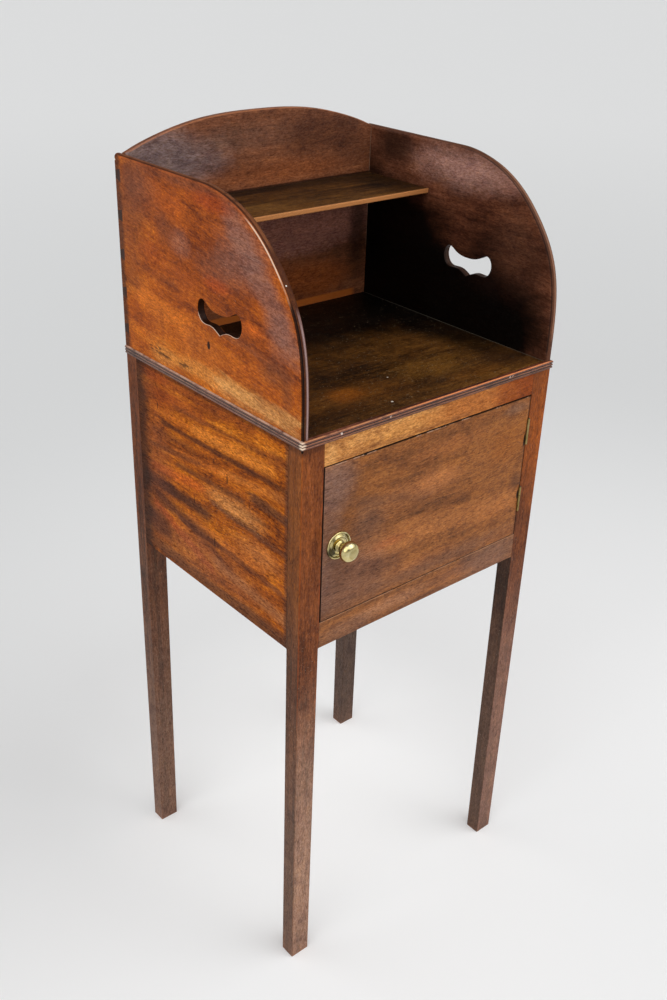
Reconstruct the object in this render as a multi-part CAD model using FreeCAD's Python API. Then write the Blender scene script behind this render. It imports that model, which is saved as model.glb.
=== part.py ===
import FreeCAD, Part
import os
import math

V = FreeCAD.Vector
os.makedirs("parts", exist_ok=True)

# Tray-top washstand: four square legs, a small cupboard with one door, and a
# tray with a tall three-sided gallery whose back is arched. Millimetres.
# X is the width (left is -X), the front is towards -Y, +Z is up, z = 0 is the
# floor. Shapes are made about the carcass centre, then moved by Y_SHIFT so that
# the origin is the middle of the whole object's footprint box.

# ---- driving dimensions -----------------------------------------------------
W = 381.0                 # carcass width over the legs
D = 335.0                 # carcass depth over the legs
LEG_X = 29.0              # leg width seen from the front
LEG_Y = 21.5              # leg depth seen from the side
FOOT_X = 26.5             # the same at the floor
FOOT_Y = 20.5
LEG_ROUND = 1.1           # worn arrises of the legs

Z_UNDER = 487.0           # underside of the cupboard
Z_OPEN0 = 521.0           # door opening, bottom
Z_OPEN1 = 714.0           # door opening, top
Z_RAIL = 741.0            # top of the carcass
Z_TRAY = 751.0            # tray surface

SIDE_T = 12.0             # side panel
BACK_T = 9.0              # cupboard back
RAIL_T = 20.0             # front rails, front to back
FLOOR_T = 10.0            # cupboard floor
TONGUE = 5.0              # depth of the tongues in the legs
TENON = 15.0              # length of the rail tenons

MOULD_IN = 3.0            # moulding: thickness behind the carcass face
MOULD_REEDS = (1.5, 1.6, 1.75)   # radii of its three reeds, from the bottom up

GAL_T = 9.5               # gallery boards
GAL_TOP = 972.5           # top of the gallery sides
ARCH_TOP = 1005.0         # crown of the gallery back
ARRIS = 4.0               # rounding of the gallery's free edges, nearly full round
SHELF_T = 6.0
SHELF_TOP = 913.0
SHELF_FRONT = 48.0        # y of the shelf's front edge
SHELF_HOUSE = 3.0         # housing depth in the sides and the back

HOLE_Y = -27.0            # centre of the handle hole, front to back

DOOR_T = 18.5
DOOR_X0 = -160.3
DOOR_X1 = 160.8
DOOR_Z0 = 521.9
DOOR_Z1 = 712.6

PIN_X = 161.15            # hinge axis
PIN_Y = -168.25
PIN_R = 0.7
BORE_R = 0.75             # running bore of the door leaves
FIXED_R = 0.72            # bore of the frame leaves
KNUCKLE_R = 1.45
HINGE_L = 34.0
LEAF_T = 1.4
LEAF_W = 15.0
HINGE_Z = {"upper": 666.0, "lower": 573.0}

KNOB_X = -137.8
KNOB_Z = 613.4
ROSE_R = 16.5
KNOB_PROJ = 26.0          # how far the knob stands out of the door
SPINDLE_R = 3.0
TONGUE_L = 32.0
TONGUE_W = 12.0
TONGUE_T = 2.5

hw = W / 2.0
hd = D / 2.0
Y_SHIFT = KNOB_PROJ / 2.0
SIDES = {"left": -1.0, "right": 1.0}


# ---- helpers ----------------------------------------------------------------
def box(x0, x1, y0, y1, z0, z1):
    xa, xb = min(x0, x1), max(x0, x1)
    ya, yb = min(y0, y1), max(y0, y1)
    za, zb = min(z0, z1), max(z0, z1)
    return Part.makeBox(xb - xa, yb - ya, zb - za, V(xa, ya, za))


def cyl(r, h, base, axis):
    return Part.makeCylinder(r, h, base, axis)


def pick(shape, test):
    out = []
    for e in shape.Edges:
        a = e.valueAt(e.FirstParameter)
        b = e.valueAt(e.LastParameter)
        m = e.valueAt((e.FirstParameter + e.LastParameter) / 2.0)
        if test(a, m, b):
            out.append(e)
    return out


def near(a, b, tol=0.02):
    return abs(a - b) < tol


def mirror_x(shape):
    return shape.mirror(V(0, 0, 0), V(1, 0, 0))


def spline(points, t0=None, t1=None):
    c = Part.BSplineCurve()
    if t0 is None:
        c.interpolate(points)
    else:
        c.interpolate(Points=points, InitialTangent=t0.normalize(),
                      FinalTangent=t1.normalize(), Scale=False)
    return c.toShape()


nodes = {}


def one(shape):
    """The shape as one clean solid."""
    shape = shape.removeSplitter()
    if len(shape.Solids) == 1:
        return shape.Solids[0]
    return shape


# ---- legs -------------------------------------------------------------------
def leg(sx, sy):
    """Leg at the corner (sx, sy): straight beside the cupboard, its two inner
    faces tapering to the foot."""
    xo, yo = sx * hw, sy * hd
    xi, yi = sx * (hw - LEG_X), sy * (hd - LEG_Y)
    xf, yf = sx * (hw - FOOT_X), sy * (hd - FOOT_Y)

    def ring(x, y, z):
        xs, ys = sorted((xo, x)), sorted((yo, y))
        return [V(xs[0], ys[0], z), V(xs[1], ys[0], z), V(xs[1], ys[1], z), V(xs[0], ys[1], z)]

    lo, hi = ring(xf, yf, 0.0), ring(xi, yi, Z_UNDER)
    quads = [lo[::-1], hi] + [[lo[i], lo[(i + 1) % 4], hi[(i + 1) % 4], hi[i]]
                              for i in range(4)]
    faces = [Part.Face(Part.makePolygon(q + [q[0]])) for q in quads]
    low = Part.makeSolid(Part.makeShell(faces))
    low = low.makeFillet(LEG_ROUND, pick(low, lambda a, m, b: abs(a.z - b.z) > 100))
    foot = pick(low, lambda a, m, b: near(a.z, 0) and near(b.z, 0) and near(m.z, 0))
    low = low.makeChamfer(0.8, foot)
    up = box(xo, xi, yo, yi, Z_UNDER, Z_RAIL)
    up = up.makeFillet(LEG_ROUND, pick(
        up, lambda a, m, b: near(m.x, xo) and near(m.y, yo) and abs(a.z - b.z) > 100))
    return low.fuse(up)


# tongue of a side panel, and of the back, in a leg
def side_tongue(sx):
    xm = sx * (hw - SIDE_T / 2.0)
    return box(xm - 3.0, xm + 3.0, -(hd - LEG_Y) - TONGUE, (hd - LEG_Y) + TONGUE,
               Z_UNDER + 6.0, Z_RAIL)


BACK_Y1 = hd - 3.5
BACK_Y0 = BACK_Y1 - BACK_T
BACK_HALF = hw - LEG_X


def back_tongue():
    ym = (BACK_Y0 + BACK_Y1) / 2.0
    return box(-BACK_HALF - TONGUE, BACK_HALF + TONGUE, ym - 2.5, ym + 2.5,
               Z_UNDER + 6.0, Z_RAIL)


def rail_tenons(z0, z1):
    y0 = -hd + 6.0
    return box(-BACK_HALF - TENON, BACK_HALF + TENON, y0, y0 + 8.0, z0, z1)


top_tenons = rail_tenons(Z_OPEN1 + 4.0, Z_RAIL - 4.0)
low_tenons = rail_tenons(Z_UNDER + 5.0, Z_OPEN0 - 5.0)

legs = {}
for sy, fb in ((-1.0, "front"), (1.0, "back")):
    for name, sx in SIDES.items():
        s = leg(sx, sy)
        s = s.cut(side_tongue(sx))
        if fb == "front":
            s = s.cut(top_tenons).cut(low_tenons)
        else:
            s = s.cut(back_tongue())
        legs[(fb, name)] = s

# ---- cupboard carcass ---------------------------------------------------------
for name, sx in SIDES.items():
    s = box(sx * hw, sx * (hw - SIDE_T), -(hd - LEG_Y), hd - LEG_Y, Z_UNDER, Z_RAIL)
    s = s.makeFillet(0.9, pick(s, lambda a, m, b: near(m.z, Z_UNDER) and abs(a.y - b.y) > 50))
    nodes["side_panel_" + name] = one(s.fuse(side_tongue(sx)))

s = box(-BACK_HALF, BACK_HALF, BACK_Y0, BACK_Y1, Z_UNDER, Z_RAIL)
nodes["carcass_back"] = one(s.fuse(back_tongue()))


def rail(z0, z1, tenons, z_round):
    s = box(-BACK_HALF, BACK_HALF, -hd, -hd + RAIL_T, z0, z1)
    s = s.makeFillet(0.7, pick(s, lambda a, m, b: near(m.y, -hd) and abs(a.x - b.x) > 50
                               and any(near(m.z, z) for z in z_round)))
    return one(s.fuse(tenons))


nodes["top_rail_front"] = rail(Z_OPEN1, Z_RAIL, top_tenons, (Z_OPEN1,))
nodes["bottom_rail_front"] = rail(Z_UNDER, Z_OPEN0, low_tenons, (Z_UNDER, Z_OPEN0))

half_in = hw - SIDE_T
s = box(-half_in, half_in, -hd + RAIL_T, BACK_Y0, Z_OPEN0 - FLOOR_T, Z_OPEN0)
for sx in (-1.0, 1.0):
    s = s.cut(box(sx * BACK_HALF, sx * hw, -hd, -(hd - LEG_Y), 480, 560))
    s = s.cut(box(sx * BACK_HALF, sx * hw, hd - LEG_Y, hd, 480, 560))
nodes["cupboard_floor"] = one(s)

# small blocks rubbed in under the floor, two along each side panel
blocks = []
for sx in (-1.0, 1.0):
    for yc in (-80.0, 85.0):
        x_out = sx * half_in
        x_in = sx * (half_in - 13.0)
        z_top = Z_OPEN0 - FLOOR_T
        tri = Part.makePolygon([V(x_out, yc - 22, z_top), V(x_in, yc - 22, z_top),
                                V(x_in, yc - 22, z_top - 3.0),
                                V(sx * (half_in - 3.0), yc - 22, z_top - 13.0),
                                V(x_out, yc - 22, z_top - 13.0),
                                V(x_out, yc - 22, z_top)])
        blocks.append(Part.Face(tri).extrude(V(0, 44, 0)))
nodes["glue_blocks"] = Part.makeCompound(blocks)

# door stop glued to the floor behind the door's free edge
stop = box(-104.0, -66.0, -hd + DOOR_T + 0.4, -hd + DOOR_T + 11.0, Z_OPEN0, Z_OPEN0 + 9.0)
nodes["door_stop"] = stop.makeFillet(1.5, pick(
    stop, lambda a, m, b: near(m.z, Z_OPEN0 + 9.0) and abs(a.x - b.x) > 20))

# ---- tray and its moulding ------------------------------------------------------
tray_x = hw - MOULD_IN
nodes_tray = box(-tray_x, tray_x, -hd + MOULD_IN, hd, Z_RAIL, Z_TRAY)


def mould_face():
    """Section of the moulding in (outwards, up): three reeds, each larger than
    the one below it. Outwards is +X here."""
    z = Z_RAIL
    e = [Part.makeLine(V(-MOULD_IN, 0, z), V(0, 0, z))]
    for r in MOULD_REEDS:
        e.append(Part.Arc(V(0, 0, z), V(r, 0, z + r), V(0, 0, z + 2 * r)).toShape())
        z += 2 * r
    e.append(Part.makeLine(V(0, 0, z), V(0, 0, Z_TRAY)))
    e.append(Part.makeLine(V(0, 0, Z_TRAY), V(-MOULD_IN, 0, Z_TRAY)))
    e.append(Part.makeLine(V(-MOULD_IN, 0, Z_TRAY), V(-MOULD_IN, 0, Z_RAIL)))
    return Part.Face(Part.Wire(e))


def prism(points):
    """Prism over the moulding's height, with this outline in plan."""
    p = [V(x, y, Z_RAIL - 5) for x, y in points]
    return Part.Face(Part.makePolygon(p + [p[0]])).extrude(V(0, 0, Z_TRAY - Z_RAIL + 10))


# the strips meet on the diagonals through the front corners
right = mould_face()
right.translate(V(hw, -hd - 10, 0))
right = right.extrude(V(0, D + 10, 0))
right = right.common(prism([(hw + 20, -hd - 20), (hw + 20, hd + 10), (hw - 20, hd + 10),
                            (hw - 20, -hd + 20)]))
nodes["moulding_right"] = right.Solids[0]
nodes["moulding_left"] = mirror_x(right.Solids[0])
front = mould_face()
front.rotate(V(0, 0, 0), V(0, 0, 1), -90)
front.translate(V(-hw - 10, -hd, 0))
front = front.extrude(V(W + 20, 0, 0))
front = front.common(prism([(-hw - 20, -hd - 20), (hw + 20, -hd - 20),
                            (hw - 20, -hd + 20), (-hw + 20, -hd + 20)]))
nodes["moulding_front"] = front.Solids[0]

# ---- gallery ----------------------------------------------------------------------
# outline of a gallery side, from the flat top down the sweep to the front edge
SWEEP = [(0.0, GAL_TOP), (-37.0, 967.8), (-62.0, 960.0), (-86.0, 947.8),
         (-107.0, 932.0), (-126.0, 912.4), (-142.6, 890.6), (-154.6, 868.0),
         (-161.4, 846.5), (-165.2, 824.0), (-167.0, 800.0), (-hd, 780.0)]


def gallery_side():
    """Left gallery side as a plain board with its free edges rounded."""
    x = -hw
    pts = [V(x, y, z) for y, z in SWEEP]
    sweep = spline(pts, V(0, -1, 0), V(0, 0, -1))
    e = [Part.makeLine(V(x, -hd, Z_TRAY), V(x, hd, Z_TRAY)),
         Part.makeLine(V(x, hd, Z_TRAY), V(x, hd, GAL_TOP)),
         Part.makeLine(V(x, hd, GAL_TOP), pts[0]),
         sweep,
         Part.makeLine(pts[-1], V(x, -hd, Z_TRAY))]
    s = Part.Face(Part.Wire(e)).extrude(V(GAL_T, 0, 0))

    def free_edge(a, m, b):
        if near(a.z, Z_TRAY) and near(b.z, Z_TRAY):
            return False
        if near(a.y, hd) and near(b.y, hd):
            return False
        return near(a.x, m.x) and near(b.x, m.x)
    return s.makeFillet(ARRIS, pick(s, free_edge))


# half outline of the handle hole: (distance from its centre line, height).
# The foot of the hole runs to a point in the middle, and its top dips there.
HOLE = [(0.0, 819.6), (4.4, 822.0), (10.0, 824.6), (18.0, 825.9), (27.0, 825.5),
        (33.2, 827.2), (37.4, 831.8), (39.5, 838.2), (39.2, 843.2), (36.8, 848.4),
        (32.2, 851.4), (27.0, 850.3), (21.0, 846.9), (13.0, 843.6), (0.0, 842.3)]


def handle_cutter():
    x = -hw - 5.0
    a = [V(x, HOLE_Y + dy, z) for dy, z in HOLE]
    b = [V(x, HOLE_Y - dy, z) for dy, z in HOLE]
    ea = spline(a, V(0, 1.0, 0.62), V(0, -1, 0))
    eb = spline(b, V(0, -1.0, 0.62), V(0, 1, 0))
    return Part.Face(Part.Wire([ea, eb])).extrude(V(GAL_T + 10.0, 0, 0))


# dovetail pins of the back board, seen from the side: narrow at the rear
PIN_N = 5
pin_step = (GAL_TOP - Z_TRAY) / PIN_N


def pins(sx):
    out = []
    for i in range(PIN_N):
        zc = Z_TRAY + pin_step * (i + 0.5)
        y0, y1 = hd - GAL_T, hd
        x0 = sx * (hw - GAL_T)
        w = Part.makePolygon([V(x0, y0, zc - 7.0), V(x0, y1, zc - 4.4),
                              V(x0, y1, zc + 4.4), V(x0, y0, zc + 7.0),
                              V(x0, y0, zc - 7.0)])
        out.append(Part.Face(w).extrude(V(sx * GAL_T, 0, 0)))
    return out


shelf_y1 = hd - GAL_T + SHELF_HOUSE
shelf_x = hw - GAL_T + SHELF_HOUSE
shelf_box = box(-shelf_x, shelf_x, SHELF_FRONT, shelf_y1, SHELF_TOP - SHELF_T, SHELF_TOP)

dowels = []
DOWEL_R = 2.0
for sx in (-1.0, 1.0):
    for yc in (-120.0, 0.0, 120.0):
        dowels.append(cyl(DOWEL_R, 20.0, V(sx * (hw - 5.6), yc, Z_RAIL + 1.0), V(0, 0, 1)))
for xc in (-110.0, 0.0, 110.0):
    dowels.append(cyl(DOWEL_R, 20.0, V(xc, hd - GAL_T / 2.0, Z_RAIL + 1.0), V(0, 0, 1)))
nodes["gallery_dowels"] = Part.makeCompound(dowels)

s = gallery_side()
s = s.cut(handle_cutter())
hole_edges = pick(s, lambda a, m, b: (near(m.x, -hw, 0.01) or near(m.x, -hw + GAL_T, 0.01))
                  and abs(m.y - HOLE_Y) < 60 and 815 < m.z < 856 and 810 < a.z < 860)
s = s.makeFillet(0.9, hole_edges)
left = s
right = mirror_x(s)
for name, sx, s in (("left", -1.0, left), ("right", 1.0, right)):
    s = s.cut(shelf_box)
    for p in pins(sx):
        s = s.cut(p)
    for d in dowels:
        s = s.cut(d)
    nodes["gallery_side_" + name] = one(s)

ARCH = [(0.0, ARCH_TOP), (45.0, 1004.0), (90.0, 999.2), (138.0, 988.0), (172.0, 976.2)]
xb = hw - GAL_T
arch_pts = ([V(-xb, hd, GAL_TOP)] + [V(-x, hd, z) for x, z in ARCH[::-1]]
            + [V(x, hd, z) for x, z in ARCH[1:]] + [V(xb, hd, GAL_TOP)])
arch = spline(arch_pts, V(1, 0, 0.36), V(1, 0, -0.36))
w = Part.Wire([Part.makeLine(V(-xb, hd, Z_TRAY), V(xb, hd, Z_TRAY)),
               Part.makeLine(V(xb, hd, Z_TRAY), arch_pts[-1]), arch,
               Part.makeLine(arch_pts[0], V(-xb, hd, Z_TRAY))])
s = Part.Face(w).extrude(V(0, -GAL_T, 0))
s = s.makeFillet(1.6, pick(s, lambda a, m, b: m.z > 980 and abs(a.x - b.x) > 100))
for sx in (-1.0, 1.0):
    for p in pins(sx):
        s = s.fuse(p)
s = s.cut(shelf_box)
for d in dowels:
    s = s.cut(d)
nodes["gallery_back"] = one(s)

shelf = shelf_box.makeFillet(1.4, pick(
    shelf_box, lambda a, m, b: near(m.y, SHELF_FRONT) and abs(a.x - b.x) > 50))
nodes["gallery_shelf"] = shelf

for d in dowels:
    nodes_tray = nodes_tray.cut(d)
nodes["tray_top"] = one(nodes_tray)

# ---- door ---------------------------------------------------------------------------
door = box(DOOR_X0, DOOR_X1, -hd, -hd + DOOR_T, DOOR_Z0, DOOR_Z1)
door = door.makeFillet(0.9, pick(
    door, lambda a, m, b: near(m.y, -hd) and near(a.y, -hd) and near(b.y, -hd)))

# ---- hinges -------------------------------------------------------------------------
KN = 5                                    # knuckles; odd ones belong to the frame
kn_l = HINGE_L / KN
frame_screws, door_screws = [], []
axis_z = V(0, 0, 1)


def screw(x_face, sx, y, z):
    """Countersunk screw, head flush with the leaf, shank going towards sx."""
    head = Part.makeCone(2.5, 1.2, 1.3, V(x_face, y, z), V(sx, 0, 0))
    shank = cyl(1.2, 10.0, V(x_face + sx * 1.3, y, z), V(sx, 0, 0))
    return head.fuse(shank)


for name, zc in HINGE_Z.items():
    z0 = zc - HINGE_L / 2.0
    fx0, fx1 = BACK_HALF, BACK_HALF + LEAF_T
    dx0, dx1 = DOOR_X1 - LEAF_T, DOOR_X1
    y0 = -hd - 0.2
    frame = box(fx0, fx1, y0, -hd + LEAF_W, z0, z0 + HINGE_L)
    doorl = box(dx0, dx1, y0, -hd + LEAF_W, z0, z0 + HINGE_L)
    # relief round the barrel, so that each leaf clears the other's knuckles
    relief = cyl(KNUCKLE_R + 0.35, HINGE_L + 2.0, V(PIN_X, PIN_Y, z0 - 1.0), axis_z)
    frame_flat = frame.cut(relief)
    door_flat = doorl.cut(relief)
    for i in range(KN):
        za = z0 + i * kn_l
        if i % 2 == 0:
            k = cyl(KNUCKLE_R, kn_l, V(PIN_X, PIN_Y, za), axis_z)
            web = box(fx0, fx1, PIN_Y, -hd + 2.5, za, za + kn_l)
            frame_flat = frame_flat.fuse(k).fuse(web)
        else:
            k = cyl(KNUCKLE_R, kn_l - 0.3, V(PIN_X, PIN_Y, za + 0.15), axis_z)
            web = box(dx0, dx1, PIN_Y, -hd + 2.5, za + 0.15, za + kn_l - 0.15)
            door_flat = door_flat.fuse(k).fuse(web)
    frame_flat = frame_flat.cut(cyl(FIXED_R, HINGE_L + 4, V(PIN_X, PIN_Y, z0 - 2), axis_z))
    door_flat = door_flat.cut(cyl(BORE_R, HINGE_L + 4, V(PIN_X, PIN_Y, z0 - 2), axis_z))
    for dz in (-10.0, 10.0):
        fs = screw(fx0, 1.0, -hd + 9.0, zc + dz)
        ds = screw(dx1, -1.0, -hd + 9.0, zc + dz)
        frame_flat = frame_flat.cut(fs)
        door_flat = door_flat.cut(ds)
        frame_screws.append(fs)
        door_screws.append(ds)
    nodes["hinge_%s_frame_leaf" % name] = one(frame_flat)
    nodes["hinge_%s_door_leaf" % name] = one(door_flat)
    pin = cyl(PIN_R, HINGE_L + 0.8, V(PIN_X, PIN_Y, z0 - 0.4), axis_z)
    nodes["hinge_%s_pin" % name] = pin.makeChamfer(0.25, pin.Edges[0:1] + pin.Edges[2:3])
    # housings for the leaves, and the scoop that the barrel lies in
    scoop = cyl(KNUCKLE_R + 0.35, HINGE_L + 0.6, V(PIN_X, PIN_Y, z0 - 0.3), axis_z)
    legs[("front", "right")] = legs[("front", "right")].cut(frame).cut(scoop)
    door = door.cut(doorl).cut(scoop)

for fs in frame_screws:
    legs[("front", "right")] = legs[("front", "right")].cut(fs)
for ds in door_screws:
    door = door.cut(ds)
nodes["hinge_screws_frame"] = Part.makeCompound(frame_screws)
nodes["hinge_screws_door"] = Part.makeCompound(door_screws)

# ---- knob and turn catch -----------------------------------------------------------
# (radius, distance in front of the door face), turned about the knob's axis
face_y = -hd
axis_y = V(0, 1, 0)


def turned(profile):
    """Solid of revolution about the knob's axis. profile is a list of edges in
    (radius, forward) made by the callers as ('l', p) or ('a', mid, end)."""
    def P(q):
        return V(KNOB_X + q[0], face_y - q[1], KNOB_Z)
    start = profile[0]
    cur = start
    edges = []
    for step in profile[1:]:
        if step[0] == "l":
            edges.append(Part.makeLine(P(cur), P(step[1])))
            cur = step[1]
        else:
            edges.append(Part.Arc(P(cur), P(step[1]), P(step[2])).toShape())
            cur = step[2]
    if cur != start:
        edges.append(Part.makeLine(P(cur), P(start)))
    s = Part.Face(Part.Wire(edges)).revolve(V(KNOB_X, face_y, KNOB_Z), axis_y, 360)
    return s


rose = turned([(SPINDLE_R + 0.5, 0.0), ("l", (ROSE_R, 0.0)), ("l", (ROSE_R, 0.8)),
               ("a", (ROSE_R - 1.2, 2.15), (ROSE_R - 2.5, 1.1)),
               ("a", (ROSE_R - 3.9, 2.0), (ROSE_R - 5.1, 2.9)),
               ("a", (ROSE_R - 6.7, 2.6), (ROSE_R - 7.9, 1.6)),
               ("l", (SPINDLE_R + 0.5, 1.6))])
nodes["knob_backplate"] = one(rose)

# knob: a short waisted neck and a flattened round head
KNOB_BASE = 1.9
knob_pts = [(6.2, KNOB_BASE), (6.9, 2.8), (6.3, 3.9), (5.0, 5.6), (4.8, 7.8), (6.4, 9.8),
            (9.3, 12.0), (11.4, 14.7), (12.0, 17.6), (11.3, 20.7), (8.9, 23.6),
            (5.2, 25.4), (0.0, KNOB_PROJ)]


def P(q):
    return V(KNOB_X + q[0], face_y - q[1], KNOB_Z)


outer = spline([P(q) for q in knob_pts], V(0.6, -1, 0), V(-1, 0, 0))
e = [outer,
     Part.makeLine(P((0.0, KNOB_PROJ)), P((0.0, 14.0))),
     Part.makeLine(P((0.0, 14.0)), P((SPINDLE_R, 14.0))),
     Part.makeLine(P((SPINDLE_R, 14.0)), P((SPINDLE_R, KNOB_BASE))),
     Part.makeLine(P((SPINDLE_R, KNOB_BASE)), P(knob_pts[0]))]
nodes["knob"] = one(Part.Face(Part.Wire(e)).revolve(V(KNOB_X, face_y, KNOB_Z), axis_y, 360))

# spindle through the door, with the washer, tongue and riveted end behind it
y_back = -hd + DOOR_T
y_washer = y_back + 0.3
y_tongue = y_back + 3.5
y_end = y_tongue + TONGUE_T
sp0 = face_y - 14.0
spindle = cyl(SPINDLE_R, y_end - sp0, V(KNOB_X, sp0, KNOB_Z), axis_y)
nodes["latch_spindle"] = spindle
washer = cyl(7.0, y_tongue - y_washer, V(KNOB_X, y_washer, KNOB_Z), axis_y)
nodes["latch_washer"] = washer.cut(spindle)
rad = TONGUE_W / 2.0
tongue = box(KNOB_X - rad, KNOB_X + rad, y_tongue, y_end, KNOB_Z - TONGUE_L + rad, KNOB_Z)
tongue = tongue.fuse(cyl(rad, TONGUE_T, V(KNOB_X, y_tongue, KNOB_Z), axis_y))
tongue = tongue.fuse(cyl(rad, TONGUE_T, V(KNOB_X, y_tongue, KNOB_Z - TONGUE_L + rad), axis_y))
nodes["latch_tongue"] = one(tongue.cut(spindle))
rivet = cyl(5.0, 1.0, V(KNOB_X, y_end, KNOB_Z), axis_y)
rivet = rivet.fuse(Part.makeCone(5.0, 2.2, 1.4, V(KNOB_X, y_end + 1.0, KNOB_Z), axis_y))
nodes["latch_rivet"] = one(rivet)

door = door.cut(cyl(SPINDLE_R + 0.05, DOOR_T + 10, V(KNOB_X, -hd - 5, KNOB_Z), axis_y))
nodes["door_panel"] = one(door)

for (fb, name), s in legs.items():
    nodes["leg_%s_%s" % (fb, name)] = one(s)

# ---- write ----------------------------------------------------------------------------
total = None
for name in sorted(nodes):
    s = nodes[name]
    s.translate(V(0, Y_SHIFT, 0))
    bb = s.BoundBox
    total = FreeCAD.BoundBox(bb) if total is None else total.united(bb)
    print("%-26s valid=%s solids=%d vol=%.1f x %.1f..%.1f y %.1f..%.1f z %.1f..%.1f" % (
        name, s.isValid(), len(s.Solids), s.Volume, bb.XMin, bb.XMax, bb.YMin, bb.YMax,
        bb.ZMin, bb.ZMax))
    s.exportStep("parts/%s.step" % name)
print("box", total)
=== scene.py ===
import math

import bpy
from mathutils import Matrix, Vector

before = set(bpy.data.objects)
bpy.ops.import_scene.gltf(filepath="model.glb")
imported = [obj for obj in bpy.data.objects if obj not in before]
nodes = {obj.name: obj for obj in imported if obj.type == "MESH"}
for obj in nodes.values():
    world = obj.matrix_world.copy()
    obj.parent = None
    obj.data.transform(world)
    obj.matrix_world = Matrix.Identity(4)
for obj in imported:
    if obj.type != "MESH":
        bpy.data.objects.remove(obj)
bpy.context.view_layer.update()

YS = 0.013                      # the object's shift along Y from the carcass centre


# ---------------------------------------------------------------------------
# node helpers
# ---------------------------------------------------------------------------
def lin(r, g, b):
    """sRGB 0..255 to linear."""
    out = []
    for c in (r, g, b):
        c = c / 255.0
        out.append(c / 12.92 if c <= 0.04045 else ((c + 0.055) / 1.055) ** 2.4)
    return (out[0], out[1], out[2], 1.0)


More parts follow.
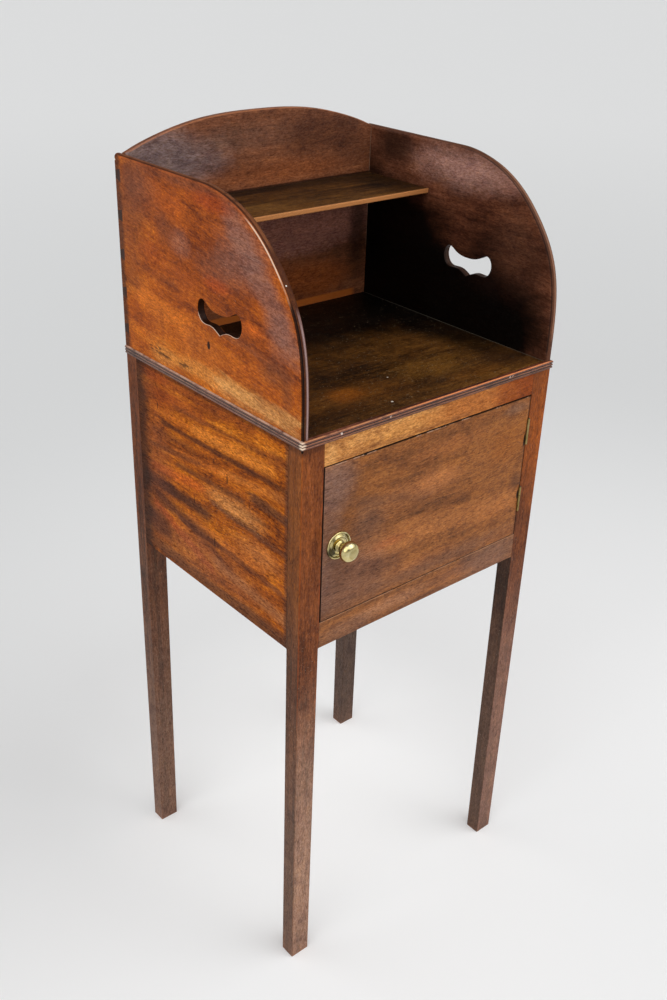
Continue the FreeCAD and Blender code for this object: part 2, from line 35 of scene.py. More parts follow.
class Tree:
    """A material's nodes, with short names for the ones used here."""

    def __init__(self, name):
        self.mat = bpy.data.materials.new(name)
        self.mat.use_nodes = True
        self.nt = self.mat.node_tree
        self.nt.nodes.clear()
        self.out = self.nt.nodes.new("ShaderNodeOutputMaterial")
        self.bsdf = self.nt.nodes.new("ShaderNodeBsdfPrincipled")
        self.nt.links.new(self.bsdf.outputs["BSDF"], self.out.inputs["Surface"])
        self.P = self.nt.nodes.new("ShaderNodeTexCoord").outputs["Object"]
        sep = self.nt.nodes.new("ShaderNodeSeparateXYZ")
        self.nt.links.new(self.P, sep.inputs[0])
        self.x, self.y, self.z = sep.outputs

    def put(self, sock, v):
        if isinstance(v, bpy.types.NodeSocket):
            self.nt.links.new(v, sock)
        elif v is not None:
            sock.default_value = v

    def math(self, op, a, b=None, c=None, clamp=False):
        n = self.nt.nodes.new("ShaderNodeMath")
        n.operation = op
        n.use_clamp = clamp
        for s, v in zip(n.inputs, (a, b, c)):
            self.put(s, v)
        return n.outputs[0]

    def add(self, a, b): return self.math("ADD", a, b)
    def sub(self, a, b): return self.math("SUBTRACT", a, b)
    def mul(self, a, b): return self.math("MULTIPLY", a, b)
    def mx(self, a, b): return self.math("MAXIMUM", a, b)
    def mn(self, a, b): return self.math("MINIMUM", a, b)

    def vec(self, v, scale=(1, 1, 1), loc=(0, 0, 0), rot=(0, 0, 0)):
        n = self.nt.nodes.new("ShaderNodeMapping")
        n.vector_type = "POINT"
        self.put(n.inputs["Vector"], v)
        n.inputs["Location"].default_value = loc
        n.inputs["Rotation"].default_value = rot
        n.inputs["Scale"].default_value = scale
        return n.outputs[0]

    def vadd(self, a, b, scale=None):
        n = self.nt.nodes.new("ShaderNodeVectorMath")
        if scale is None:
            n.operation = "ADD"
            self.put(n.inputs[0], a)
            self.put(n.inputs[1], b)
        else:
            n.operation = "MULTIPLY_ADD"
            self.put(n.inputs[0], b)
            n.inputs[1].default_value = scale
            self.put(n.inputs[2], a)
        return n.outputs[0]

    def noise(self, v, scale=1.0, detail=2.0, rough=0.5, dist=0.0, color=False):
        n = self.nt.nodes.new("ShaderNodeTexNoise")
        self.put(n.inputs["Vector"], v)
        n.inputs["Scale"].default_value = scale
        n.inputs["Detail"].default_value = detail
        n.inputs["Roughness"].default_value = rough
        n.inputs["Distortion"].default_value = dist
        return n.outputs["Color" if color else "Fac"]

    def voronoi(self, v, scale=1.0, feature="F1", randomness=1.0, out="Distance"):
        n = self.nt.nodes.new("ShaderNodeTexVoronoi")
        n.feature = feature
        self.put(n.inputs["Vector"], v)
        n.inputs["Scale"].default_value = scale
        n.inputs["Randomness"].default_value = randomness
        return n.outputs[out]

    def step(self, v, lo, hi, to0=0.0, to1=1.0, smooth=True):
        n = self.nt.nodes.new("ShaderNodeMapRange")
        n.interpolation_type = "SMOOTHSTEP" if smooth else "LINEAR"
        n.clamp = True
        self.put(n.inputs["Value"], v)
        n.inputs["From Min"].default_value = lo
        n.inputs["From Max"].default_value = hi
        n.inputs["To Min"].default_value = to0
        n.inputs["To Max"].default_value = to1
        return n.outputs["Result"]

    def grey(self, v):
        n = self.nt.nodes.new("ShaderNodeCombineXYZ")
        for k in range(3):
            self.put(n.inputs[k], v)
        return n.outputs[0]

    def ramp(self, fac, stops):
        n = self.nt.nodes.new("ShaderNodeValToRGB")
        cr = n.color_ramp
        cr.interpolation = "LINEAR"
        while len(cr.elements) < len(stops):
            cr.elements.new(0.5)
        for el, (p, c) in zip(cr.elements, stops):
            el.position = p
            el.color = c
        self.put(n.inputs["Fac"], fac)
        return n.outputs["Color"]

    def mix(self, fac, a, b, mode="MIX"):
        n = self.nt.nodes.new("ShaderNodeMix")
        n.data_type = "RGBA"
        n.blend_type = mode
        n.clamp_factor = True
        self.put(n.inputs[0], fac)
        self.put(n.inputs[6], a)
        self.put(n.inputs[7], b)
        return n.outputs[2]

    def bump(self, height, distance, normal=None, strength=1.0):
        n = self.nt.nodes.new("ShaderNodeBump")
        n.inputs["Strength"].default_value = strength
        n.inputs["Distance"].default_value = distance
        self.put(n.inputs["Height"], height)
        if normal is not None:
            self.put(n.inputs["Normal"], normal)
        return n.outputs[0]

    # masks ------------------------------------------------------------------
    def blob(self, centre, radii, noise=None, amount=0.35, lo=0.25, hi=1.0):
        """1 inside an ellipsoid about centre, fading to 0 at its edge. Radii are in
        metres; None leaves that axis out. noise breaks up the outline."""
        total = None
        for axis, c, r in zip((self.x, self.y, self.z), centre, radii):
            if r is None:
                continue
            d = self.mul(self.sub(axis, c), 1.0 / r)
            d = self.mul(d, d)
            total = d if total is None else self.add(total, d)
        d = self.math("SQRT", total)
        if noise is not None:
            d = self.add(d, self.mul(self.sub(noise, 0.5), amount * 2.0))
        return self.step(d, hi, lo)

    def strip(self, p0, p1, half, plane, noise=None, amount=0.6, end=1.0):
        """1 along the line p0-p1 in a plane of two axes ("yz" or "xz"), fading to
        0 at half its width. Points and widths are in metres."""
        i, j = (getattr(self, c) for c in plane)
        dx, dy = p1[0] - p0[0], p1[1] - p0[1]
        length = math.hypot(dx, dy)
        ux, uy = dx / length, dy / length
        di, dj = self.sub(i, p0[0]), self.sub(j, p0[1])
        along = self.add(self.mul(di, ux), self.mul(dj, uy))
        across = self.sub(self.mul(dj, ux), self.mul(di, uy))
        past = self.mx(self.sub(self.math("ABSOLUTE", self.sub(along, length / 2.0)),
                                length / 2.0), 0.0)
        past = self.mul(past, 1.0 / (half * end))
        across = self.mul(across, 1.0 / half)
        d = self.math("SQRT", self.add(self.mul(past, past), self.mul(across, across)))
        if noise is not None:
            d = self.add(d, self.mul(self.sub(noise, 0.5), amount * 2.0))
        return self.step(d, 1.0, 0.25)

    def both(self, a, b): return self.mul(a, b)

    def inside(self, axis, lo, hi, soft=0.0002):
        """1 where lo < axis < hi."""
        return self.mul(self.step(axis, lo - soft, lo + soft), self.step(axis, hi + soft, hi - soft))

    def edge(self, lo, hi):
        """Distance in metres to the nearest edge of the box lo..hi, seen from any
        of its faces (the second smallest of the three distances to its faces)."""
        d = []
        for axis, a, b in zip((self.x, self.y, self.z), lo, hi):
            d.append(self.mn(self.sub(axis, a), self.sub(b, axis)))
        a, b, c = d
        return self.mx(self.mn(a, b), self.mn(self.mx(a, b), c))


AX = {"X": 0, "Y": 1, "Z": 2}


def stretched(t, grain, along, across, seed):
    """Coordinates for a texture that runs with the grain: along and across are
    features per metre."""
    s = [across] * 3
    s[AX[grain]] = along
    return t.vec(t.P_warp, scale=tuple(s), loc=(seed * 3.17, seed * 7.31, seed * 1.93))


def shade(t, colour, f, low=0.62, high=0.76):
    """A plain colour, made darker and lighter by the figure f."""
    k = t.add(t.mul(f, high), low)
    return t.mix(1.0, (*colour[:3], 1.0), t.grey(k), "MULTIPLY")


def wood(name, grain, seed, stops, broad=(3.0, 13.0, 0.8), band=(4.0, 52.0, 0.7),
         streak=(20.0, 270.0, 0.62), mottle=0.38, speck=0.34, pores=(190.0, 860.0, 0.66),
         fleck=0.42, warp=0.010, warp_scale=5.0, tilt=0.0, contrast=1.25, tints=(), marks=(),
         plane=None, rough=(0.38, 0.55), spec=0.12, coat=0.03, coat_rough=0.3, bump=1.0,
         dark=(0.30, 0.22, 0.18), glint=0.26, grain_amount=0.31,
         clouds=0.60, sheen_flecks=0.050):
    """Old polished mahogany. stops are the colours from dark to light; broad, band
    and streak are (along, across, weight) of three sizes of figure; pores are the
    open pores, short dark dashes that run with the grain. tints are
    (mask, colour, amount) under the pores, marks the same on top of them. Besides
    the wood's own tones and marks, tints and marks carry painted shade, painted
    highlights and painted reflections. glint and the last layer of flecks add
    painted sheen."""
    t = Tree(name)
    # the grain wanders a little
    w = t.noise(t.vec(t.P, loc=(seed, seed * 2.0, seed * 3.0)), warp_scale, 2.0, 0.5, 0.0, True)
    w = t.vadd(w, (-0.5, -0.5, -0.5))
    t.P_warp = t.vadd(t.P, w, (warp * 2, warp * 2, warp * 2))
    if tilt:
        rot = {"Y": (tilt, 0, 0), "X": (0, tilt, 0), "Z": (0, tilt, 0)}[grain]
        t.P_warp = t.vec(t.P_warp, rot=rot)
    n1 = t.noise(stretched(t, grain, broad[0], broad[1], seed), 1.0, 2.0, 0.5, 0.6)
    n2 = t.noise(stretched(t, grain, band[0], band[1], seed + 5), 1.0, 3.0, 0.6, 0.5)
    n3 = t.noise(stretched(t, grain, streak[0], streak[1], seed + 9), 1.0, 3.0, 0.65, 0.3)
    mo = t.noise(t.vec(t.P, loc=(seed * 2, 3, seed)), 70.0, 4.0, 0.65, 0.6)
    sp = t.noise(stretched(t, grain, 210.0, 430.0, seed + 3), 1.0, 2.0, 0.7, 0.2)
    total = broad[2] + band[2] + streak[2] + mottle + speck
    f = t.mul(n1, broad[2] / total)
    f = t.add(f, t.mul(n2, band[2] / total))
    f = t.add(f, t.mul(n3, streak[2] / total))
    f = t.add(f, t.mul(mo, mottle / total))
    f = t.add(f, t.mul(sp, speck / total))
    f = t.add(t.mul(t.sub(f, 0.5), 2.7 * contrast), 0.5)
    f = t.math("MINIMUM", t.mx(f, 0.0), 1.0)
    t.f = f
    t.soft = t.noise(t.vec(t.P, loc=(seed * 5, 1, 2)), 16.0, 4.0, 0.65, 0.3)
    t.frayed = t.noise(stretched(t, grain, 9.0, 80.0, seed + 31), 1.0, 3.0, 0.65, 0.4)
    t.fine = t.noise(stretched(t, grain, 60.0, 260.0, seed + 37), 1.0, 3.0, 0.7)
    col = t.ramp(f, stops)
    for mask, colour, amount in tints:
        col = t.mix(t.mul(mask(t), amount), col, shade(t, colour, f))
    cloud = t.noise(stretched(t, grain, 34.0, 62.0, seed + 51), 1.0, 5.0, 0.72, 0.8)
    col = t.mix(t.mul(t.step(cloud, 0.50, 0.34), clouds), col,
                t.mix(1.0, col, (0.52, 0.46, 0.52, 1.0), "MULTIPLY"))
    col = t.mix(t.mul(t.step(cloud, 0.52, 0.68), clouds), col,
                t.mix(1.0, col, (1.34, 1.34, 1.16, 1.0), "MULTIPLY"))
    grit = t.noise(stretched(t, grain, 210.0, 620.0, seed + 23), 1.0, 3.0, 0.75, 0.2)
    a, b, c = grain_amount, 1.35 * grain_amount, 1.7 * grain_amount
    grit = t.ramp(t.step(grit, 0.32, 0.68, 0.0, 1.0, False),
                  [(0.0, (1 - a, 1 - b, 1 - c, 1)), (1.0, (1 + a, 1 + b, 1 + c, 1))])
    col = t.mix(1.0, col, grit, "MULTIPLY")
    # open pores: fine dashes everywhere, and broken darker runs
    cell = t.voronoi(stretched(t, grain, pores[0], pores[1], seed + 13), 1.0)
    dash = t.step(cell, 0.34, 0.16)
    where = t.step(t.noise(stretched(t, grain, 12.0, 60.0, seed + 41), 1.0, 3.0, 0.6), 0.36, 0.62)
    dash = t.mul(dash, t.add(t.mul(where, 0.8), 0.2))
    run = t.noise(stretched(t, grain, pores[0] * 0.62, pores[1] * 0.78, seed + 17), 1.0, 2.0, 0.6)
    runs = t.step(run, 0.57, 0.66)
    hole = t.mx(t.mul(dash, pores[2]), t.mul(runs, fleck))
    col = t.mix(hole, col, t.mix(1.0, col, (*dark, 1.0), "MULTIPLY"))
    # painted sheen: lighter flecks between them
    col = t.mix(t.mul(t.step(run, 0.43, 0.34), glint), col,
                t.mix(1.0, col, (1.55, 1.45, 1.35, 1.0), "MULTIPLY"))
    # painted sheen: whitish flecks of reflection on the polish
    sheen_noise = t.noise(stretched(t, grain, 300.0, 560.0, seed + 61), 1.0, 3.0, 0.8)
    sheen_noise = t.step(sheen_noise, 0.54, 0.74, 0.0, 1.0, False)
    col = t.mix(t.mul(sheen_noise, sheen_flecks), col, (0.70, 0.62, 0.56, 1.0))
    for mask, colour, amount in marks:
        col = t.mix(t.mul(mask(t), amount), col, colour)
    t.put(t.bsdf.inputs["Base Color"], col)
    rn = t.noise(t.vec(t.P, loc=(seed, 0, 4)), 22.0, 4.0, 0.65, 0.2)
    r = t.step(rn, 0.3, 0.7, rough[0], rough[1], False)
    r = t.add(r, t.mul(hole, 0.15))
    t.put(t.bsdf.inputs["Roughness"], r)
    t.bsdf.inputs["Specular IOR Level"].default_value = spec
    t.bsdf.inputs["Coat Weight"].default_value = coat
    t.bsdf.inputs["Coat Roughness"].default_value = coat_rough
    # surface: slow hand-planed waves, then the grain, then the pores
    wave = t.noise(stretched(t, grain, 9.0, 22.0, seed + 21), 1.0, 1.0, 0.4)
    nrm = t.bump(wave, 0.0009 * bump)
    nrm = t.bump(n3, 0.00030 * bump, nrm)
    nrm = t.bump(t.sub(1.0, hole), 0.00012 * bump, nrm, 0.9)
    t.put(t.bsdf.inputs["Normal"], nrm)
    return t.mat


def assign(node, mat):
    o = nodes[node]
    o.data.materials.clear()
    o.data.materials.append(mat)


def mm(x, y, z):
    """A point about the carcass centre, in mm, to the frame in metres."""
    return (x / 1000.0, y / 1000.0 + YS, z / 1000.0)


# masks in mm about the carcass centre. L: on the side boards (y, z); F: on the
# front and back boards (x, z); T: on level boards (x, y).
def L(y, z, ry, rz, broken=0.35, hard=0.2):
    return lambda t: t.blob((0, y / 1000.0 + YS, z / 1000.0), (None, ry / 1000.0, rz / 1000.0),
                            t.soft, broken, hard)


def F(x, z, rx, rz, broken=0.35, hard=0.2):
    return lambda t: t.blob((x / 1000.0, 0, z / 1000.0), (rx / 1000.0, None, rz / 1000.0),
                            t.soft, broken, hard)


def T(x, y, rx, ry, broken=0.35, hard=0.2):
    return lambda t: t.blob((x / 1000.0, y / 1000.0 + YS, 0), (rx / 1000.0, ry / 1000.0, None),
                            t.soft, broken, hard)


def LS(y0, z0, y1, z1, half, broken=0.55, end=2.0):
    return lambda t: t.strip((y0 / 1000.0 + YS, z0 / 1000.0), (y1 / 1000.0 + YS, z1 / 1000.0),
                             half / 1000.0, "yz", t.frayed, broken, end)


def FS(x0, z0, x1, z1, half, broken=0.55, end=2.0):
    return lambda t: t.strip((x0 / 1000.0, z0 / 1000.0), (x1 / 1000.0, z1 / 1000.0),
                             half / 1000.0, "xz", t.frayed, broken, end)


def TS(x0, y0, x1, y1, half, broken=0.55, end=2.0):
    return lambda t: t.strip((x0 / 1000.0, y0 / 1000.0 + YS), (x1 / 1000.0, y1 / 1000.0 + YS),
                             half / 1000.0, "xy", t.frayed, broken, end)


def spot(x, y, z, r):
    return lambda t: t.blob(mm(x, y, z), (r / 1000.0,) * 3, t.fine, 0.25, 0.5)


def wear_and_highlight(mask, lo=0.40, hi=0.56):
    """The mask, broken up into patches by a fine noise: for wear, and for painted highlights along arrises."""
    return lambda t: t.mul(mask(t), t.step(t.noise(t.P, 60.0, 4.0, 0.7), lo, hi))


def slab(axis, lo, hi, soft=0.15):
    """Between two planes, in mm about the carcass centre."""
    s = YS if axis == "y" else 0.0
    return lambda t: t.inside(getattr(t, axis), lo / 1000.0 + s, hi / 1000.0 + s, soft / 1000.0)


def all_of(*masks):
    def m(t):
        out = masks[0](t)
        for k in masks[1:]:
            out = t.mul(out, k(t))
        return out
    return m


def any_of(*masks):
    def m(t):
        out = masks[0](t)
        for k in masks[1:]:
            out = t.mx(out, k(t))
        return out
    return m


def scratches(direction, seed, density=0.70):
    """Fine scratches that run one way, as a mask over the whole board."""
    def m(t):
        v = t.vec(t.P, rot=direction, loc=(seed, seed, seed), scale=(34.0, 34.0, 1500.0))
        n = t.noise(v, 1.0, 1.0, 0.5)
        k = t.noise(t.vec(t.P, loc=(seed, 2, 1)), 30.0, 2.0, 0.5)
        return t.mul(t.step(n, density, density + 0.04), t.step(k, 0.5, 0.62))
    return m


def dust(seed, lo=0.74, hi=0.80, scale=900.0):
    """Small specks of dust and nicks."""
    def m(t):
        return t.step(t.noise(t.vec(t.P, loc=(seed, 0, 0)), scale, 1.0, 0.5), lo, hi)
    return m


# ---------------------------------------------------------------------------
# palettes, dark to light
# ---------------------------------------------------------------------------
def stops(*cols):
    at = (0.0, 0.26, 0.48, 0.70, 1.0)
    return [(p, lin(*c)) for p, c in zip(at, cols)]


# painted shade: almost black, for the shaded insides of the tray, shelf and right gallery
SHADE_BLACK = (0.0012, 0.0007, 0.0004, 1.0)
GREY = lin(124, 104, 98)
# painted sheen: the light mauve reflection of the polish
MAUVE_SHEEN = lin(142, 99, 86)
# painted highlight colour for the outer arris of the left gallery
CREAM_HIGHLIGHT = lin(244, 214, 186)
DUST = lin(150, 142, 128)

side_stops = stops((52, 23, 7), (106, 49, 10), (164, 82, 12), (200, 110, 18), (232, 148, 48))
gal_stops = stops((66, 27, 7), (122, 53, 11), (172, 83, 15), (196, 104, 22), (224, 144, 52))
door_stops = stops((58, 32, 15), (100, 58, 28), (142, 85, 40), (168, 104, 50), (198, 134, 74))
leg_stops = stops((40, 19, 8), (78, 39, 17), (112, 58, 26), (138, 76, 36), (170, 100, 54))
rail_stops = stops((104, 54, 20), (156, 92, 42), (196, 128, 64), (216, 150, 82), (236, 180, 112))
tray_stops = stops((18, 9, 3), (46, 26, 9), (74, 45, 16), (98, 62, 24), (132, 90, 40))
back_stops = stops((58, 32, 22), (96, 56, 36), (126, 76, 50), (150, 92, 60), (176, 116, 80))
in_stops = stops((34, 17, 11), (74, 40, 26), (106, 62, 42), (130, 80, 58), (156, 104, 78))
mould_stops = stops((30, 12, 7), (66, 30, 19), (94, 48, 32), (124, 70, 50), (170, 112, 86))
pine_stops = stops((84, 56, 34), (122, 86, 54), (148, 108, 70), (170, 130, 90), (196, 158, 116))

# ---------------------------------------------------------------------------
# the boards
# ---------------------------------------------------------------------------
hole_left = all_of(slab("y", -70, 16), slab("z", 816, 855))


def off_hole(t):
    return t.sub(1.0, hole_left(t))


def rim(x_near, x_far, z_lo, z_hi):
    """Along the rounded free edge of a gallery side: the part of the rounding
    between two depths from the outer face, between two heights."""
    return all_of(slab("x", x_near, x_far, 0.12), slab("z", z_lo, z_hi, 6.0), off_hole,
                  lambda t: t.step(t.y, 0.1660 + YS, 0.1600 + YS))


inner_face = slab("x", 178.0, 182.6, 0.3)
outer_face = slab("x", 189.3, 192.0, 0.3)

assign("gallery_side_left", wood(
    "gallery_left", "Y", 3.0, gal_stops, broad=(3.4, 9.0, 0.9), band=(4.5, 42.0, 0.6),
    warp=0.020, warp_scale=4.0, tilt=-0.13, contrast=1.0, grain_amount=0.36, pores=(190.0, 860.0, 0.60), fleck=0.34,
    # the mauve tints here are painted sheen
    tints=[(L(-72, 912, 66, 46), MAUVE_SHEEN, 0.62),
           (LS(-60, 938, -140, 850, 24), MAUVE_SHEEN, 0.60),
           (L(-128, 850, 30, 46), MAUVE_SHEEN, 0.42),
           (L(44, 902, 30, 22), MAUVE_SHEEN, 0.50),
           (L(72, 912, 26, 30), lin(108, 60, 40), 0.55),
           (L(61, 940, 42, 22), lin(198, 96, 26), 0.62),
           (L(128, 952, 46, 30), lin(112, 62, 42), 0.55),
           (L(20, 966, 120, 9), lin(116, 66, 46), 0.5),
           (L(-30, 890, 60, 30), lin(134, 84, 66), 0.45),
           (L(-15, 955, 50, 14), lin(160, 60, 18), 0.60),
           (LS(110, 822, 50, 812, 20), lin(208, 112, 30), 0.65),
           (L(142, 840, 30, 26), lin(112, 54, 24), 0.62),
           (L(118, 935, 64, 44), lin(120, 68, 50), 0.42),
           (L(-142, 792, 14, 30), lin(110, 60, 36), 0.50),
           (L(0, 795, 80, 22), lin(190, 104, 34), 0.45),
           (LS(90, 762, -84, 772, 14, 1.2), lin(202, 132, 60), 0.6),
           (LS(-40, 764, -150, 764, 15, 1.2), lin(212, 150, 84), 0.78),
           (L(-84, 843, 30, 10), lin(214, 104, 26), 0.75),
           (L(-24, 872, 36, 12), lin(182, 74, 22), 0.60),
           (L(-120, 806, 36, 18), lin(128, 72, 42), 0.55),
           (L(30, 866, 40, 16), lin(176, 84, 24), 0.45),
           (L(100, 880, 40, 16), lin(164, 72, 22), 0.45),
           (LS(165, 740, 165, 985, 11, 0.6), lin(62, 34, 22), 0.80),
           (L(140, 910, 44, 80), lin(100, 52, 32), 0.55),
           (LS(150, 860, 60, 850, 10, 0.9), lin(120, 58, 28), 0.5),
           (LS(-20, 830, -140, 812, 9, 0.9), lin(122, 66, 40), 0.5)],
    marks=[(all_of(LS(116, 768, 30, 764, 6, 0.9), lambda t: t.step(t.fine, 0.50, 0.58)), lin(40, 20, 10), 0.75),
           (L(-7, 803, 3.2, 5.5, 0.2, 0.6), lin(26, 12, 7), 0.95),
           (all_of(L(-60, 925, 80, 40), scratches((0.5, 0.3, 0.0), 3.0, 0.66)), lin(206, 168, 150), 0.45),
           (all_of(L(0, 860, 180, 120), dust(4.0, 0.72, 0.78, 420.0)), lin(200, 170, 140), 0.30),
           (rim(-189.4, -181.3, 745, 976), lin(48, 28, 20), 0.86),
           # painted highlight: a light line along the outer arris of the curved edge, orange at the top, cream
           # lower down, fading out by z 880
           (wear_and_highlight(rim(-190.3, -189.2, 925, 976), 0.36, 0.6), lin(176, 92, 48), 0.45),
           (rim(-190.3, -189.7, 902, 950), CREAM_HIGHLIGHT, 0.85),
           (wear_and_highlight(rim(-190.3, -189.6, 880, 905), 0.4, 0.6), lin(196, 150, 120), 0.7),
           # painted dark reflection on the outer rounding below that, then a painted mauve highlight with a lighter
           # core in the middle of the rounding
           (rim(-190.3, -188.3, 745, 886), lin(16, 8, 6), 0.92),
           (rim(-186.4, -183.0, 748, 878), lin(140, 110, 106), 0.8),
           (rim(-185.2, -184.2, 752, 866), lin(214, 188, 184), 0.45),
           (wear_and_highlight(rim(-187.6, -184.0, 930, 976), 0.30, 0.5), lin(128, 78, 48), 0.8),
           # painted shade on the walls of the handle hole, and a painted highlight on its lower arris
           (all_of(hole_left, slab("x", -189.9, -181.6, 0.2)), lin(12, 7, 5), 0.95),
           (wear_and_highlight(all_of(hole_left, slab("x", -190.32, -189.7, 0.08), slab("z", 818, 834, 3.0)), 0.25, 0.4),
            lin(220, 190, 168), 0.9),
           (spot(-190.5, 166.0, 951.0, 3.0), lin(240, 232, 224), 0.95),
           (spot(-190.5, 167.0, 966.0, 1.4), lin(226, 214, 200), 0.9),
           (spot(-187.6, -135.0, 901.0, 1.0), lin(236, 226, 216), 0.95)],
    spec=0.08, coat=0.02))
assign("gallery_side_right", wood(
    "gallery_right", "Y", 8.0, in_stops, broad=(3.2, 9.0, 0.9), band=(4.5, 42.0, 0.6),
    warp=0.02, contrast=1.1,
    # painted shade: the inner face goes almost black low down and towards the back, where the left gallery and the
    # shelf shade it
    tints=[(all_of(L(30, 780, 260, 92, 0.25, 0.55), inner_face), SHADE_BLACK, 0.99),
           (all_of(L(110, 840, 140, 96, 0.25, 0.5), inner_face), SHADE_BLACK, 0.975),
           (all_of(L(150, 900, 50, 60, 0.2), inner_face), SHADE_BLACK, 0.80),
           (all_of(L(-100, 800, 90, 60, 0.3), inner_face), SHADE_BLACK, 0.70),
           (all_of(L(-90, 850, 100, 60, 0.3, 0.4), inner_face), lin(34, 18, 12), 0.65),
           # painted light: the upper front of the inner face is lit a light reddish mauve
           (all_of(L(-10, 945, 120, 34), inner_face), lin(190, 144, 130), 0.78),
           (all_of(L(-100, 880, 50, 60), inner_face), lin(116, 74, 54), 0.45),
           (all_of(L(112, 952, 56, 34), inner_face), lin(34, 19, 13), 0.80),
           (outer_face, lin(190, 98, 38), 0.80),
           # painted sheen on the outer face
           (all_of(L(40, 920, 90, 40), outer_face), MAUVE_SHEEN, 0.55),
           (all_of(LS(100, 800, -60, 780, 26, 0.9), outer_face), lin(206, 124, 52), 0.6)],
    sheen_flecks=0.012,
    marks=[(all_of(slab("x", 182.2, 189.6, 0.2), slab("z", 745, 976, 4.0)), lin(84, 52, 36), 0.75),
           (all_of(slab("x", 181.3, 182.2, 0.15), slab("z", 760, 970, 6.0),
                   lambda t: t.step(t.y, 0.10, 0.02)), lin(40, 22, 14), 0.8),
           # painted highlights on the rounded top edge: a band in its middle and a line on the outer arris
           (all_of(slab("x", 184.4, 187.4, 0.5), slab("z", 780, 962, 8.0)), lin(168, 122, 96), 0.55),
           (all_of(slab("x", 189.6, 190.25, 0.15), slab("z", 760, 968, 8.0)), lin(190, 140, 110), 0.6),
           # painted shade on the walls of the handle hole
           (all_of(hole_left, slab("x", 181.6, 189.9, 0.2)), lin(40, 23, 16), 0.88)],
    spec=0.10, coat=0.02))


def on_inside(mask):
    """Only on the face of the back board that looks into the gallery."""
    return all_of(mask, slab("y", 150.0, 161.0, 0.5))


assign("gallery_back", wood(
    "gallery_back", "X", 12.0, back_stops, broad=(3.0, 13.0, 0.8), band=(5.0, 52.0, 0.6),
    contrast=1.05,
    tints=[(on_inside(F(-145, 958, 120, 46, 0.35, 0.35)), lin(134, 114, 112), 0.85),
           (on_inside(F(-20, 975, 130, 24)), lin(118, 84, 68), 0.45),
           (on_inside(F(40, 930, 150, 22)), lin(152, 82, 40), 0.48),
           (on_inside(F(150, 950, 50, 40)), lin(84, 52, 40), 0.45),
           (on_inside(F(100, 970, 100, 40)), lin(78, 44, 30), 0.78),
           (on_inside(F(0, 856, 260, 46, 0.3, 0.55)), lin(186, 126, 110), 0.78),
           (on_inside(F(-60, 800, 160, 40, 0.35, 0.4)), lin(176, 94, 46), 0.65),
           (on_inside(F(90, 785, 90, 34, 0.35, 0.3)), lin(178, 92, 36), 0.60),
           # painted shade in the inside angle by the right gallery
           (on_inside(F(165, 830, 24, 80)), lin(40, 22, 14), 0.7)],
    marks=[(any_of(slab("x", -191, -181.2, 0.2), slab("x", 181.2, 191, 0.2)), lin(44, 24, 16), 0.9),
           (all_of(slab("z", 751.0, 760.5, 1.6), wear_and_highlight(slab("x", -180, 160, 6), 0.22, 0.42),
                   slab("y", 150, 158.4)), lin(214, 116, 44), 0.75),
           (wear_and_highlight(all_of(slab("z", 974, 1006, 1), slab("y", 158.2, 160.4, 0.2)), 0.3, 0.5), lin(176, 110, 70), 0.6),
           (all_of(slab("x", 180.0, 181.2, 0.3), slab("z", 820, 970, 8)), lin(140, 122, 104), 0.55),
           (all_of(slab("z", 912.5, 915.2, 0.6), slab("y", 150, 158.6)), lin(24, 12, 8), 0.8),
           (F(-128, 947, 1.8, 2.6, 0.2, 0.5), lin(30, 16, 12), 0.8)],
    spec=0.14, coat=0.03))
assign("gallery_shelf", wood(
    "gallery_shelf", "X", 15.0, tray_stops, broad=(3.0, 20.0, 0.7), band=(4.0, 70.0, 0.7),
    # painted shade: the back and the right end of the shelf top go almost black
    tints=[(T(60, 150, 200, 30), SHADE_BLACK, 0.7), (T(160, 100, 60, 80), SHADE_BLACK, 0.6),
           (T(-60, 80, 120, 22), lin(120, 82, 38), 0.4)],
    marks=[(slab("y", 40, 48.9, 0.5), lin(206, 138, 82), 0.85),
           (wear_and_highlight(slab("y", 48.6, 50.4, 0.5), 0.3, 0.5), lin(150, 100, 58), 0.6),
           (dust(6.0), DUST, 0.3)],
    rough=(0.38, 0.58), spec=0.12))
assign("tray_top", wood(
    "tray_top", "X", 21.0, tray_stops, broad=(4.0, 14.0, 0.9), band=(5.0, 50.0, 0.6),
    mottle=0.6, contrast=1.2, sheen_flecks=0.012,
    # painted shade: the tray top goes almost black at the back and along both galleries, where the shelf and
    # galleries shade it
    tints=[(T(60, 130, 300, 150, 0.30, 0.5), SHADE_BLACK, 0.95),
           (T(185, 40, 90, 220, 0.30, 0.45), SHADE_BLACK, 0.88),
           (T(-185, 60, 50, 160, 0.25), SHADE_BLACK, 0.6),
           (T(60, -95, 90, 40), lin(122, 80, 28), 0.55),
           (T(-60, -110, 90, 44), lin(112, 66, 22), 0.5),
           (T(-77, -103, 34, 24), lin(150, 82, 20), 0.5),
           (T(90, -140, 90, 18), lin(110, 66, 22), 0.35),
           (T(150, -125, 50, 40), lin(40, 22, 12), 0.60)],
    marks=[(slab("x", 179.6, 180.9, 0.4), lin(104, 100, 88), 0.55),
           (slab("y", 156.8, 158.0, 0.4), lin(70, 40, 20), 0.6),
           (slab("x", -180.9, -179.4, 0.4), lin(92, 98, 92), 0.5),
           (dust(2.0, 0.70, 0.76, 500.0), lin(170, 152, 124), 0.42),
           (all_of(T(40, -95, 90, 50), dust(9.0, 0.64, 0.72, 300.0)), lin(168, 132, 88), 0.35),
           (scratches((0.3, 0.0, 0.9), 6.0, 0.70), lin(140, 116, 84), 0.35),
           (T(-49, -146, 1.8, 1.8, 0.1, 0.5), lin(240, 232, 220), 0.9),
           (T(-6, -92, 1.4, 1.4, 0.1, 0.5), lin(220, 208, 190), 0.8)],
    rough=(0.34, 0.6), spec=0.12))

